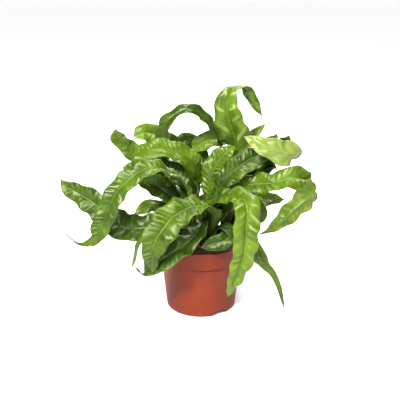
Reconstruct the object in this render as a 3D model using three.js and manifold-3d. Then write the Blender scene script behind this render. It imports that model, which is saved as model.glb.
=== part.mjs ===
// A potted bird's-nest type fern with long, undivided, waved and twisted fronds.
// Millimetres, +Z up. The pot stands on Z = 0 and everything is measured from its axis,
// which is then moved sideways so that the footprint of the whole plant is centred.

import * as THREE from "three";
import { mergeVertices } from "three/addons/utils/BufferGeometryUtils.js";
import Module from "manifold-3d";

const wasm = await Module();
wasm.setup();

const potAxis = [19.5, -2, 0];
const degrees = Math.PI / 180;

// Pot
const rimRadius = 60;
const potHeight = 100;
const footRadius = 50;
const wall = 1.8;
const collarHeight = 27;
const collarStep = 2;
const collarTaper = 1.4;
const bellyPower = 0.85;
const rim = { width: 2.8, bead: 0.7, beadHeight: 2.6, chamfer: 0.8 };
const floorHeight = 7.6;
const floorThickness = 1.8;
const footRingWidth = 2.8;
const potSides = 48;
const drain = { count: 6, radius: 3.2, circle: 34, depth: 12, sides: 8 };
const notch = { count: 3, first: -58, width: 20.5, height: 6.4, depth: 16, sides: 16 };

// Growing medium and rootstock
const gap = 0.3;
const soilLevel = 91;
const soilMound = 2;
const soilSides = 36;
const crownRadius = 22.6;
const crownTop = 99;
const crownDome = 4;
const crownFoot = 80;
const crownSides = 24;
const socket = { depth: 9, radius: 2.15, sides: 6 };

// Fronds
const stipeHalfWidth = 1.5;
const stipeThickness = 1.5;
const bladeThickness = 0.8;
const stipeLength = 46;
const bladeFrom = 10;
const foldLift = 0.2;
const waveLength = 27;
const fewestWaves = 4;
const sectionsPerWave = 4;
const scallop = 0.07;
const fullWaveHalf = 9;
const tipFade = 12;
const leastHalf = 0.8;

// Fronds that would touch are bent clear of each other along the line of sight from the front.
// Near the crown they stand closer, and below stiffTo the stipe doesn't bend.
const sightFrom = new THREE.Vector3(-1.4, -800, 430);
const clearance = 4.2;
const bending = {
  rounds: 60, share: 0.35, most: 3, rootRoom: 1.6, roomRise: 0.06, stiffTo: 16,
  spread: [0.25, 0.6, 0.9, 1, 0.9, 0.6, 0.25], smoothing: 0.25,
};

const colours = {
  terracotta: { color: 0xac523e, roughness: 0.5, metalness: 0 },
  peat: { color: 0x33261c, roughness: 1, metalness: 0 },
  scale: { color: 0x3b2a1d, roughness: 0.9, metalness: 0 },
  frond: { color: 0x5f9a2a, roughness: 0.45, metalness: 0 },
  limeFrond: { color: 0x9dc24a, roughness: 0.5, metalness: 0 },
};

// Each frond has its root on the crown as [radius, angle], the way it heads, and the line of its
// midrib as [x, y, z, half width, roll]. Roll turns the blade about the midrib: at 0 the blade lies
// across its heading, below 0 it leans to its left and above 0 to its right.
const shownFronds = {
  front_right_strap: { root: [12, -75], heading: -75, wave: 2.2, line: [
    [7, -22, 142, 5, 20], [8, -34, 162, 9, 40], [17, -46, 175, 12, 50], [31, -58, 182, 13, 50],
    [47, -72, 186, 14.5, 30], [56, -86, 183, 16.5, 5], [57, -94, 170, 17, 0], [56, -97, 151, 17, 0],
    [55, -96, 123, 16, 0], [49, -92, 96, 14, 0], [41, -85, 68, 8, 0], [36, -80, 48, 2.5, 0]] },
  front_left_strap: { root: [18, -50], heading: -125, wave: 2.4, line: [
    [18, -24, 134, 4, 0], [17, -38, 155, 9, 0], [5, -52, 167, 13, -12], [-13, -65, 170, 16.5, -20],
    [-36, -84, 163, 17.5, -25], [-50, -97, 149, 17, -30], [-60, -100, 132, 14, -30],
    [-63, -96, 112, 9, -30], [-63, -88, 88, 3, -30]] },
  pot_left_strap: { root: [18, -90], heading: -140, wave: 2.2, line: [
    [2, -27, 132, 4, 0], [1, -42, 139, 9, -5], [-7, -58, 130, 14, -10], [-21, -74, 121, 15, -20],
    [-40, -84, 111, 16, -20], [-57, -86, 100, 14, -20], [-70, -82, 90, 9, -10], [-78, -78, 81, 5, 20],
    [-87, -76, 90, 1.5, 40]] },
  left_slim_drop: { root: [18, -110], heading: 180, wave: 1, line: [
    [-15, -20, 123, 5, 0], [-36, -36, 132, 8, 0], [-58, -50, 135, 9, 0], [-73, -58, 131, 7, -10],
    [-83, -62, 118, 5, -30], [-87, -62, 105, 4, -40], [-90, -61, 93, 3, -40], [-94, -59, 80, 1, -40]] },
  big_left_arch: { root: [12, -135], heading: -160, wave: 2.4, line: [
    [-7, -12, 144, 4, 10], [-15, -18, 172, 7, 10], [-26, -26, 194, 9, 0], [-41, -34, 207, 11, -15],
    [-58, -44, 218, 13.5, -25], [-75, -50, 216, 14.5, -35], [-94, -57, 204, 14.5, -40],
    [-111, -62, 186, 14, -50], [-122, -65, 163, 13.5, -58], [-132, -64, 141, 12.5, -60],
    [-141, -60, 123, 8, -50], [-156, -56, 114, 4, -30], [-170, -50, 115, 2.2, -10],
    [-184, -46, 126, 1, 0]] },
  left_flag: { root: [18, -150], heading: 180, wave: 3, line: [
    [-13, -14, 115, 6, 0], [-32, -26, 129, 10, -20], [-52, -34, 135, 13, -35], [-72, -38, 132, 15, -45],
    [-91, -38, 129, 17, -50], [-111, -34, 133, 17, -58], [-129, -28, 144, 16, -65],
    [-144, -22, 158, 15, -70], [-158, -16, 166, 14, -75], [-173, -10, 173, 11, -78],
    [-186, -6, 179, 8, -80], [-195, -4, 190, 1, -80]] },
  upper_left_arch: { root: [6, 180], heading: 180, wave: 2.2, line: [
    [-4, 4, 152, 5, 0], [-5, 6, 175, 7, -20], [-6, 6, 197, 11, -35], [-12, 2, 214, 14, -40],
    [-31, -2, 228, 13.5, -40], [-50, -6, 233, 14, -48], [-69, -8, 232, 13.5, -50],
    [-83, -2, 228, 9, -40], [-91, 7, 225, 5, -30], [-90, 16, 223, 1.5, -30]] },
  left_paddle: { root: [12, 165], heading: 165, wave: 2, line: [
    [-13, 14, 156, 6, 0], [-30, 24, 180, 9, -10], [-52, 32, 198, 11, -30], [-73, 38, 209, 12, -50],
    [-92, 40, 215, 12, -70], [-106, 38, 226, 11, -80], [-115, 34, 237, 10, -85],
    [-119, 30, 247, 8.5, -85], [-120, 28, 253, 5, -85]] },
  pale_fold: { root: [12, 135], heading: 150, wave: 1.6, line: [
    [-6, 22, 162, 6, 0], [-17, 38, 191, 9, -20], [-35, 52, 214, 12, -40], [-53, 60, 230, 12, -60],
    [-70, 64, 238, 12, -75], [-83, 64, 240, 12, -75], [-92, 60, 237, 9, -60], [-99, 56, 236, 4, -50]] },
  hoop: { root: [6, 120], heading: 170, wave: 1, line: [
    [12, 22, 165, 5, 10], [24, 37, 192, 5, 10], [30, 51, 214, 5, 0], [23, 54, 237, 6.5, -10],
    [10, 45, 261, 7.5, -30], [-6, 33, 277, 8, -30], [-19, 24, 282, 8.5, -30], [-33, 24, 276, 8.5, -35],
    [-46, 24, 265, 9.5, -50], [-52, 26, 249, 10, -60], [-53, 28, 230, 9.5, -60], [-50, 30, 214, 6, -60],
    [-44, 32, 203, 1.5, -60]] },
  back_left_twist: { root: [12, 75], heading: 180, wave: 2, line: [
    [25, 34, 169, 5, 0], [44, 48, 197, 7, 0], [53, 58, 216, 8, -10], [45, 61, 227, 8, -35],
    [26, 60, 232, 11, -55], [9, 58, 230, 12.5, -60], [-5, 56, 221, 10, -60], [-14, 54, 212, 2, -50]] },
  back_left_loop: { root: [12, 105], heading: 170, wave: 1.6, line: [
    [7, 46, 161, 4, 0], [6, 60, 184, 7, -20], [2, 68, 208, 9, -40], [-9, 70, 223, 10, -60],
    [-24, 68, 227, 10, -65], [-34, 64, 220, 6, -60], [-38, 62, 213, 1.5, -60]] },
  top_flag: { root: [6, 60], heading: 20, wave: 1.6, line: [
    [17, 12, 161, 5, 20], [30, 26, 191, 5, 40], [43, 33, 213, 5.5, 58], [49, 36, 230, 14, 60],
    [46, 36, 245, 23, 60], [40, 34, 262, 21, 60], [36, 32, 283, 17.5, 60], [39, 32, 300, 12.5, 50],
    [47, 36, 308, 8, 20],
    [58, 40, 310, 7, -10], [66, 44, 301, 9, -35], [73, 48, 288, 9, -40], [81, 50, 276, 5, -40],
    [88, 52, 266, 1, -40]] },
  lime_leaf: { root: [6, 0], heading: 0, wave: 1.2, young: true, line: [
    [22, 10, 132, 3, 0], [50, 34, 166, 3, -10], [80, 42, 192, 3, -20], [103, 36, 206, 3.5, -25],
    [118, 21, 212, 5, -30], [128, 8, 216, 9, -45], [131, -4, 223, 11, -60], [124, -13, 228, 16, -60],
    [112, -18, 231, 17, -60], [98, -19, 236, 14.5, -60], [83, -17, 241, 12, -60], [69, -10, 246, 7, -60],
    [57, -3, 250, 1, -60]] },
  olive_tip: { root: [18, 50], heading: 20, wave: 1.4, line: [
    [26, 50, 157, 5, 20], [49, 66, 192, 8, 40], [66, 76, 217, 9, 60], [79, 80, 233, 8, 60],
    [88, 82, 242, 5, 60], [97, 84, 250, 1, 60]] },
  ruffled_back: { root: [12, 45], heading: 15, wave: 4, line: [
    [33, 30, 160, 6, 20], [57, 46, 188, 9, 40], [81, 58, 208, 10, 55], [101, 64, 215, 10, 60],
    [117, 64, 219, 9, 60], [125, 62, 226, 9, 60], [129, 60, 238, 1, 60]] },
  right_peak: { root: [0, 0], heading: 30, wave: 1, line: [
    [6, -4, 128, 3, 0], [30, 8, 158, 4, 20], [53, 36, 182, 7, 40], [76, 60, 199, 8, 55], [96, 72, 213, 9.5, 55],
    [107, 75, 224, 8.5, 45], [114, 76, 237, 1, 40]] },
  right_spiral: { root: [12, -15], heading: -60, wave: 2, line: [
    [21, -6, 151, 6, 70], [40, -12, 169, 10, 75], [60, -18, 184, 13, 62], [80, -24, 189, 13, 64],
    [99, -30, 192, 12.5, 62], [116, -33, 199, 14, 64], [130, -36, 200, 15, 80], [141, -40, 199, 15, 98],
    [149, -48, 196, 16, 122], [148, -56, 189, 19, 155], [139, -60, 181, 16, 195],
    [129, -62, 172, 13, 213], [118, -62, 162, 12, 222], [109, -62, 152, 10.5, 225],
    [99, -60, 142, 7.5, 225], [89, -57, 133, 3.5, 222], [77, -53, 127, 1, 215]] },
  right_wing: { root: [18, -10], heading: -20, wave: 1.2, line: [
    [27, -7, 107, 7, 40], [37, -10, 120, 12, 65], [44, -14, 137, 13, 65], [50, -22, 155, 11, 62],
    [59, -37, 166, 8, 60], [69, -48, 171, 8, 65], [76, -55, 167, 8.5, 75], [79, -58, 158, 8, 85],
    [77, -56, 149, 5, 90], [73, -54, 141, 1, 90]] },
  right_low: { root: [18, 10], heading: 10, wave: 1.6, line: [
    [30, 4, 135, 5, 0], [50, 12, 144, 11, 15], [73, 18, 150, 14, 30], [91, 22, 152, 13, 35],
    [105, 22, 150, 9, 30], [115, 20, 151, 5, 20], [121, 18, 153, 1, 10]] },
  center_fan: { root: [6, -120], heading: 0, wave: 1.6, line: [
    [7, 2, 148, 5, 10], [10, 8, 165, 8, 50], [13, 12, 182, 12.5, 62], [18, 14, 197, 16, 62],
    [26, 16, 211, 14.5, 60], [37, 18, 223, 10, 50], [48, 22, 230, 2, 30]] },
  center_broad: { root: [6, -60], heading: 0, wave: 1.8, line: [
    [17, -14, 152, 6, 20], [23, -20, 176, 10, 40], [35, -24, 197, 14, 55], [51, -22, 212, 16, 60],
    [69, -12, 222, 15, 50], [86, 2, 226, 12, 40], [102, 14, 226, 7, 30], [112, 22, 226, 2, 20]] },
  center_dark: { root: [12, 15], heading: 10, wave: 2, line: [
    [25, -2, 146, 5, 10], [40, 6, 165, 10, 20], [56, 12, 180, 13, 30], [75, 18, 190, 14, 40],
    [92, 22, 197, 13, 40], [104, 26, 198, 9, 30], [109, 30, 194, 4, 20]] },
  rim_curl: { root: [18, -70], heading: -45, wave: 0.8, line: [
    [15, -28, 112, 3, 0], [24, -36, 130, 5, 20], [35, -44, 134, 7, 40], [40, -52, 127, 9, 60],
    [32, -60, 122, 11.5, 80], [19, -62, 118, 10, 90], [7, -62, 114, 6.5, 90], [-1, -62, 112, 1.5, 90]] },
  left_low: { root: [18, -130], heading: 180, wave: 1.2, line: [
    [-20, -17, 105, 3, 0], [-30, -17, 113, 8, -20], [-41, -14, 118, 11, -45], [-51, -10, 120, 10, -55],
    [-61, -7, 118, 7, -60], [-70, -5, 113, 1, -60]] },
  left_mid_leaf: { root: [18, 170], heading: 170, wave: 1.6, line: [
    [-16, 2, 124, 5, 0], [-33, 10, 128, 8, -10], [-51, 16, 135, 9, -30], [-68, 20, 142, 9, -50],
    [-81, 20, 139, 8, -60], [-91, 18, 133, 5, -60], [-98, 16, 128, 1, -60]] },
  left_back_curl: { root: [18, 150], heading: 160, wave: 1.6, line: [
    [-16, 20, 143, 6, 0], [-42, 36, 164, 10, -10], [-69, 46, 182, 12, -30], [-90, 52, 190, 11, -40],
    [-106, 52, 190, 8, -50], [-116, 50, 190, 3, -50]] },
  left_inner: { root: [18, -170], heading: 170, wave: 2, line: [
    [-12, -6, 138, 6, 0], [-28, -6, 152, 11, -20], [-46, -6, 168, 14, -40], [-64, -8, 182, 15, -50],
    [-80, -12, 190, 11, -50], [-92, -16, 192, 3, -50]] },
  left_shade: { root: [12, -165], heading: 170, wave: 2, line: [
    [-8, -2, 138, 6, 0], [-13, 3, 157, 10, -10], [-21, 8, 173, 13, -30], [-32, 12, 189, 14, -45],
    [-45, 14, 201, 12, -50], [-58, 15, 207, 8, -50], [-69, 15, 204, 2, -50]] },
  right_drop: { root: [18, -30], heading: -60, wave: 1, line: [
    [24, -16, 110, 3, 0], [38, -36, 119, 6, 10], [55, -54, 119, 9, 20], [68, -62, 113, 11, 35],
    [77, -66, 101, 11, 50], [85, -67, 90, 7, 50], [95, -67, 78, 5, 50], [103, -66, 63, 4, 45],
    [109, -64, 44, 3, 45], [115, -62, 20, 0.8, 45]] },
  inner_curl: { root: [12, -45], heading: -70, wave: 0.8, line: [
    [14, -18, 117, 4, 10], [22, -25, 133, 10, 40], [30, -28, 147, 11.5, 62], [39, -29, 156, 9, 72],
    [50, -29, 161, 2, 75]] },
};

// The far side is filled by a rule: each frond arches out from its root and droops.
const farForm = { seed: 41, steps: 8, wave: 2, start: 18, swing: 26, lean: 50, base: 3, belly: 11, tip: 1.2 };
const farFronds = [
  { root: [18, 30], heading: 36, reach: 92, rise: 66, drop: 40 },
  { root: [18, 70], heading: 60, reach: 104, rise: 58, drop: 62 },
  { root: [18, 90], heading: 95, reach: 108, rise: 50, drop: 70 },
  { root: [18, 110], heading: 112, reach: 100, rise: 62, drop: 52 },
  { root: [18, 130], heading: 132, reach: 96, rise: 54, drop: 66 },
];

// Small repeatable random numbers between 0 and 1.
function seeded(seed) {
  let state = seed;
  return () => {
    state = (Math.imul(state, 1664525) + 1013904223) >>> 0;
    return state / 4294967296;
  };
}

function farLine({ heading, reach, rise, drop }, index) {
  const random = seeded(farForm.seed + index);
  const swing = (random() - 0.5) * farForm.swing;
  const lean = (random() - 0.5) * farForm.lean;
  const line = [];
  for (let i = 1; i <= farForm.steps; i++) {
    const s = i / farForm.steps;
    const angle = heading + swing * s * s;
    const out = farForm.start + (reach - farForm.start) * Math.sin(s * Math.PI / 2) ** 1.15;
    const climb = Math.sin(Math.min(1.7 * s, 1.2) * Math.PI / 2);
    const up = crownTop + rise * climb - drop * s ** 2.6;
    const belly = farForm.base + farForm.belly * Math.sin(0.95 * s * Math.PI) ** 0.8;
    line.push([...onCircle(out, angle), up, i === farForm.steps ? farForm.tip : belly, lean * s]);
  }
  return line;
}

function fronds() {
  const shown = Object.entries(shownFronds).map(([name, frond]) => ({ name, ...frond }));
  const far = farFronds.map((frond, i) => (
    { name: `far_${i + 1}`, ...frond, wave: farForm.wave, line: farLine(frond, i) }));
  return [...shown, ...far].map((frond, order) => ({ ...frond, order }));
}

function onCircle(radius, angle) {
  return [radius * Math.cos(angle * degrees), radius * Math.sin(angle * degrees)];
}

// Height of the crown's domed top.
function crownAt(x, y) {
  return crownTop - crownDome * (x * x + y * y) / (crownRadius * crownRadius);
}

// Sections at even steps along the midrib, with the half width and the roll read at each.
function sectionsOf(frond) {
  const [x, y] = onCircle(...frond.root);
  const stipe = [1 - socket.depth, -1, 6].map((dz) => [x, y, crownAt(x, y) + dz, stipeHalfWidth, 0]);
  const rows = [...stipe, ...frond.line];
  const path = new THREE.CatmullRomCurve3(
    rows.map((row) => new THREE.Vector3(row[0], row[1], row[2])), false, "centripetal");
  const form = new THREE.CatmullRomCurve3(
    rows.map((row) => new THREE.Vector3(row[3], row[4], 0)), false, "catmullrom", 0.5);
  path.arcLengthDivisions = 400;
  const length = path.getLength();
  const count = sectionsPerWave * Math.max(fewestWaves, Math.round(length / waveLength));
  const sections = [];
  for (let k = 0; k <= count; k++) {
    const t = path.getUtoTmapping(k / count);
    const read = form.getPoint(t);
    sections.push({
      centre: path.getPoint(t),
      half: Math.max(leastHalf, read.x),
      roll: read.y * degrees,
      along: (k / count) * length,
      give: 0,
    });
  }
  return { length, sections };
}

function placed(section) {
  const ray = section.centre.clone().sub(sightFrom).normalize();
  return section.centre.clone().addScaledVector(ray, section.give);
}

function frameOf(frond) {
  const { sections } = frond;
  const points = sections.map(placed);
  const heading = frond.heading * degrees;
  const across = new THREE.Vector3(-Math.sin(heading), Math.cos(heading), 0);
  sections.forEach((section, k) => {
    const before = points[Math.max(0, k - 1)];
    const after = points[Math.min(points.length - 1, k + 1)];
    const tangent = after.clone().sub(before).normalize();
    const side = across.clone().addScaledVector(tangent, -across.dot(tangent)).normalize();
    side.applyAxisAngle(tangent, section.roll);
    section.point = points[k];
    section.side = side;
    section.normal = tangent.clone().cross(side);
  });
}

const stations = [-1, -0.5, 0, 0.5, 1];

function samplesOf(section) {
  return stations.map((s) => section.point.clone().addScaledVector(section.side, s * section.half));
}

function depthOf(point) {
  return point.distanceTo(sightFrom);
}

function bendClear(all) {
  const inFront = new Map();
  for (let round = 0; round < bending.rounds; round++) {
    let touching = 0;
    all.forEach((frond) => {
      frameOf(frond);
      frond.samples = frond.sections.map(samplesOf);
      frond.push = frond.sections.map(() => 0);
      frond.bounds = new THREE.Box3().setFromPoints(frond.samples.flat()).expandByScalar(clearance);
    });
    for (const a of all) {
      for (const b of all) {
        if (b.order <= a.order || !a.bounds.intersectsBox(b.bounds)) continue;
        const near = closePairs(a, b);
        if (!near.length) continue;
        touching += near.length;
        const key = `${a.name} ${b.name}`;
        if (!inFront.has(key)) {
          inFront.set(key, near.reduce((sum, pair) => sum + pair.behind, 0) > 0 ? 1 : -1);
        }
        const sign = inFront.get(key);
        for (const { i, j, distance, behind } of near) {
          const short = behind * sign < 0 ? clearance + Math.abs(behind) : clearance - distance;
          const step = Math.min(bending.most, bending.share * short) * sign;
          if (Math.abs(step) > Math.abs(a.push[i])) a.push[i] = -step;
          if (Math.abs(step) > Math.abs(b.push[j])) b.push[j] = step;
        }
      }
    }
    if (!touching) break;
    all.forEach(giveWay);
  }
  all.forEach(frameOf);
}

// Pairs of sections whose blades come nearer than the clearance.
function closePairs(a, b) {
  const pairs = [];
  a.sections.forEach((first, i) => {
    if (!b.bounds.containsPoint(first.point) && !b.bounds.intersectsSphere(
      new THREE.Sphere(first.point, first.half))) return;
    b.sections.forEach((second, j) => {
      const along = Math.min(first.along, second.along);
      const room = Math.min(clearance, bending.rootRoom + bending.roomRise * along);
      const reach = first.half + second.half + room;
      if (first.point.distanceToSquared(second.point) > reach * reach) return;
      let distance = Infinity;
      let behind = 0;
      for (const p of a.samples[i]) {
        for (const q of b.samples[j]) {
          const d = p.distanceTo(q);
          if (d < distance) {
            distance = d;
            behind = depthOf(q) - depthOf(p);
          }
        }
      }
      if (distance < room) pairs.push({ i, j, distance, behind });
    });
  });
  return pairs;
}

// The foot of a stipe stays in its socket, and the blade is free to give.
function looseness(section) {
  return THREE.MathUtils.smoothstep(section.along, bending.stiffTo, stipeLength);
}

function giveWay(frond) {
  const { sections, push } = frond;
  const middle = (bending.spread.length - 1) / 2;
  sections.forEach((section, k) => {
    let most = 0;
    bending.spread.forEach((share, m) => {
      const value = share * (push[k + m - middle] ?? 0);
      if (Math.abs(value) > Math.abs(most)) most = value;
    });
    section.give += most * looseness(section);
  });
  for (let k = 1; k < sections.length - 1; k++) {
    const mean = (sections[k - 1].give + sections[k + 1].give) / 2;
    sections[k].give += bending.smoothing * (mean - sections[k].give) * looseness(sections[k]);
  }
}

// The corners of one section, from the left margin over the midrib to the right and back below.
function ringOf(frond, section, k) {
  const { point, side, normal, half, along } = section;
  const toBlade = THREE.MathUtils.smoothstep(along, bladeFrom, stipeLength);
  const thickness = THREE.MathUtils.lerp(stipeThickness, bladeThickness, toBlade);
  const open = toBlade * Math.min(1, half / fullWaveHalf);
  const lift = foldLift * half * open;
  const wave = frond.wave * open * Math.min(1, (frond.length - along) / tipFade);
  const turn = (k / sectionsPerWave) * 2 * Math.PI;
  const margin = (phase) => [half * (1 + scallop * open * Math.cos(turn + phase)),
    lift + wave * Math.sin(turn + phase)];
  const [leftOut, leftUp] = margin(frond.order);
  const [rightOut, rightUp] = margin(2.1 * frond.order + 1.7);
  const above = [[-leftOut, leftUp, 1], [0, 0, 1], [rightOut, rightUp, 1]];
  const below = above.map(([out, up]) => [out, up, -1]).reverse();
  return [...above, ...below].map(([out, up, face]) => point.clone()
    .addScaledVector(side, out).addScaledVector(normal, up + face * thickness / 2));
}

// A blade is a loft of these six-cornered rings.
function bladeGeometry(frond) {
  const rings = frond.sections.map((section, k) => ringOf(frond, section, k));
  const n = rings[0].length;
  const faces = [];
  for (let k = 0; k < rings.length - 1; k++) {
    for (let m = 0; m < n; m++) {
      const a = k * n + m;
      const b = k * n + (m + 1) % n;
      const c = a + n;
      const d = b + n;
      // Both faces take the same diagonal, so that they stay parallel.
      if (m < n / 2) faces.push(a, d, b, a, c, d);
      else faces.push(a, c, b, b, c, d);
    }
  }
  const last = (rings.length - 1) * n;
  for (const [a, b, c] of [[0, 5, 1], [5, 4, 1], [4, 3, 1], [3, 2, 1]]) {
    faces.push(a, c, b, last + a, last + b, last + c);
  }
  const corners = rings.flat().flatMap((corner) => corner.toArray());
  const geometry = new THREE.BufferGeometry();
  geometry.setAttribute("position", new THREE.Float32BufferAttribute(corners, 3));
  geometry.setIndex(faces);
  return geometry;
}

function toManifold(geometry) {
  const bare = geometry.clone();
  bare.deleteAttribute("normal");
  bare.deleteAttribute("uv");
  const merged = mergeVertices(bare, 1e-4);
  return new wasm.Manifold(new wasm.Mesh({
    numProp: 3,
    vertProperties: new Float32Array(merged.attributes.position.array),
    triVerts: new Uint32Array(merged.index.array),
  }));
}

function toGeometry(solid) {
  const mesh = solid.getMesh();
  const geometry = new THREE.BufferGeometry();
  geometry.setAttribute("position", new THREE.BufferAttribute(mesh.vertProperties, 3));
  geometry.setIndex(new THREE.BufferAttribute(mesh.triVerts, 1));
  return geometry;
}

// A solid of revolution about Z from [radius, height] corners that close on themselves.
function turned(outline, sides) {
  const closed = [...outline, outline[0]].map(([r, z]) => new THREE.Vector2(r, z));
  return new THREE.LatheGeometry(closed, sides).rotateX(Math.PI / 2);
}

function upright(radius, height, sides, [x, y], low) {
  return new THREE.CylinderGeometry(radius, radius, height, sides)
    .rotateX(Math.PI / 2).translate(x, y, low + height / 2);
}

const collarFoot = potHeight - collarHeight;
const floorTop = floorHeight + floorThickness;

// Outer radius of the tapered body below the collar.
function bodyRadius(z) {
  const bodyTop = rimRadius - collarTaper - collarStep;
  return footRadius + (bodyTop - footRadius) * (z / collarFoot) ** bellyPower;
}

function potGeometry() {
  const bodyTop = bodyRadius(collarFoot);
  const collarLow = bodyTop + collarStep;
  const beadFoot = potHeight - rim.beadHeight;
  const innerFoot = footRadius - footRingWidth;
  const outline = [
    [innerFoot, 0], [footRadius - 0.5, 0], [footRadius, 0.6],
    [bodyRadius(25), 25], [bodyRadius(50), 50],
    [bodyTop, collarFoot], [collarLow - 0.4, collarFoot + 0.2], [collarLow, collarFoot + 1],
    [rimRadius - rim.bead, beadFoot - 0.8], [rimRadius, beadFoot], [rimRadius, potHeight - rim.chamfer],
    [rimRadius - rim.chamfer, potHeight], [rimRadius - rim.width + 0.6, potHeight],
    [rimRadius - rim.width, potHeight - rim.chamfer],
    [collarLow - wall, collarFoot + 2.4], [bodyTop - wall, collarFoot - 1.2],
    [bodyRadius(50) - wall, 50], [bodyRadius(25) - wall, 25], [bodyRadius(floorTop) - wall - 1, floorTop],
    [0, floorTop], [0, floorHeight], [innerFoot, floorHeight],
  ];
  let body = toManifold(turned(outline, potSides));
  for (let i = 0; i < drain.count; i++) {
    const centre = onCircle(drain.circle, (i * 360) / drain.count);
    const low = floorHeight + (floorThickness - drain.depth) / 2;
    body = body.subtract(toManifold(upright(drain.radius, drain.depth, drain.sides, centre, low)));
  }
  for (let i = 0; i < notch.count; i++) {
    const arch = new THREE.CylinderGeometry(notch.width / 2, notch.width / 2, notch.depth, notch.sides);
    arch.rotateZ(Math.PI / 2).scale(1, 1, notch.height / (notch.width / 2));
    arch.translate(footRadius, 0, 0).rotateZ((notch.first + (i * 360) / notch.count) * degrees);
    body = body.subtract(toManifold(arch));
  }
  return toGeometry(body);
}

function soilGeometry() {
  const low = floorTop + gap;
  const fill = (z) => [bodyRadius(z) - wall - gap, z];
  const hole = crownRadius + gap;
  const outline = [
    [0, low], [bodyRadius(low) - wall - 1 - gap, low], fill(25), fill(50),
    [bodyRadius(collarFoot) - wall - gap, collarFoot - 1.4],
    [rimRadius - rim.width - 1.2, soilLevel - 1.5], [44, soilLevel + 0.3 * soilMound],
    [33, soilLevel + 0.8 * soilMound], [hole, soilLevel + soilMound],
    [hole, crownFoot - gap], [0, crownFoot - gap],
  ];
  return turned(outline, soilSides);
}

function crownGeometry(all) {
  const dome = [1, 0.75, 0.45, 0].map((share) => [share * crownRadius, crownAt(share * crownRadius, 0)]);
  let body = toManifold(turned([[0, crownFoot], [crownRadius, crownFoot], ...dome], crownSides));
  for (const frond of all) {
    const centre = onCircle(...frond.root);
    const low = crownAt(...centre) - socket.depth + 1 - gap;
    const hole = upright(socket.radius, 2 * socket.depth, socket.sides, centre, low);
    body = body.subtract(toManifold(hole));
  }
  return toGeometry(body);
}

function named(name, geometry, look) {
  const mesh = new THREE.Mesh(geometry, new THREE.MeshStandardMaterial(look));
  mesh.name = name;
  return mesh;
}

const allFronds = fronds().map((frond) => ({ ...frond, ...sectionsOf(frond) }));
bendClear(allFronds);

const plant = new THREE.Group();
plant.position.set(...potAxis);
plant.add(named("pot", potGeometry(), colours.terracotta));
plant.add(named("soil", soilGeometry(), colours.peat));
plant.add(named("crown", crownGeometry(allFronds), colours.scale));
for (const frond of allFronds) {
  const look = frond.young ? colours.limeFrond : colours.frond;
  plant.add(named(`frond_${frond.name}`, bladeGeometry(frond), look));
}

export default plant;
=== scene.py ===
import math
import bmesh
import bpy
from mathutils import Matrix, Vector


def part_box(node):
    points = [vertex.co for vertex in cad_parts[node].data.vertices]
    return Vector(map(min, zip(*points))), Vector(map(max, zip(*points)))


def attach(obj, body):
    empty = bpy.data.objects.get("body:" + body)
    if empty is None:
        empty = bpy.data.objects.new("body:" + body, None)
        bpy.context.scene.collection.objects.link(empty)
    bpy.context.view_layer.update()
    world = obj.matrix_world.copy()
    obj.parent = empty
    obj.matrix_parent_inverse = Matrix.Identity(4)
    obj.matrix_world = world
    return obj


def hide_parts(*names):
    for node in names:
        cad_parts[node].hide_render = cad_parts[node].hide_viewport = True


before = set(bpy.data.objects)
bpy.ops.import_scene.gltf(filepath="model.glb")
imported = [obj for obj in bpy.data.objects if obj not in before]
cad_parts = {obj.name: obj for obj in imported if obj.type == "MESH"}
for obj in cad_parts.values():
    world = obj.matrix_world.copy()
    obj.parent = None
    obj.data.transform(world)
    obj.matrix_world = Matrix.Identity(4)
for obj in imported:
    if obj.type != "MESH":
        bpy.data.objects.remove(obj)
for name in ("Cube", "Light", "Camera"):  # what a new file holds
    if name in bpy.data.objects:
        bpy.data.objects.remove(bpy.data.objects[name])
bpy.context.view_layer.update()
print("frame loaded:", len(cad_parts), "nodes")

mm = 0.001
fullTurn = 2 * math.pi


def wireMath(operation):
    def forward(self, other):
        return self.maker.combine(operation, self, other)

    def reflected(self, other):
        return self.maker.combine(operation, other, self)

    return forward, reflected


# A socket that works in Python expressions: arithmetic adds Math or Vector Math nodes to its tree.
class Wire:
    def __init__(self, maker, socket):
        self.maker = maker
        self.socket = socket

    __add__, __radd__ = wireMath("ADD")
    __sub__, __rsub__ = wireMath("SUBTRACT")
    __mul__, __rmul__ = wireMath("MULTIPLY")
    __truediv__, __rtruediv__ = wireMath("DIVIDE")

    def isVector(self):
        return self.socket.type == "VECTOR"


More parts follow.
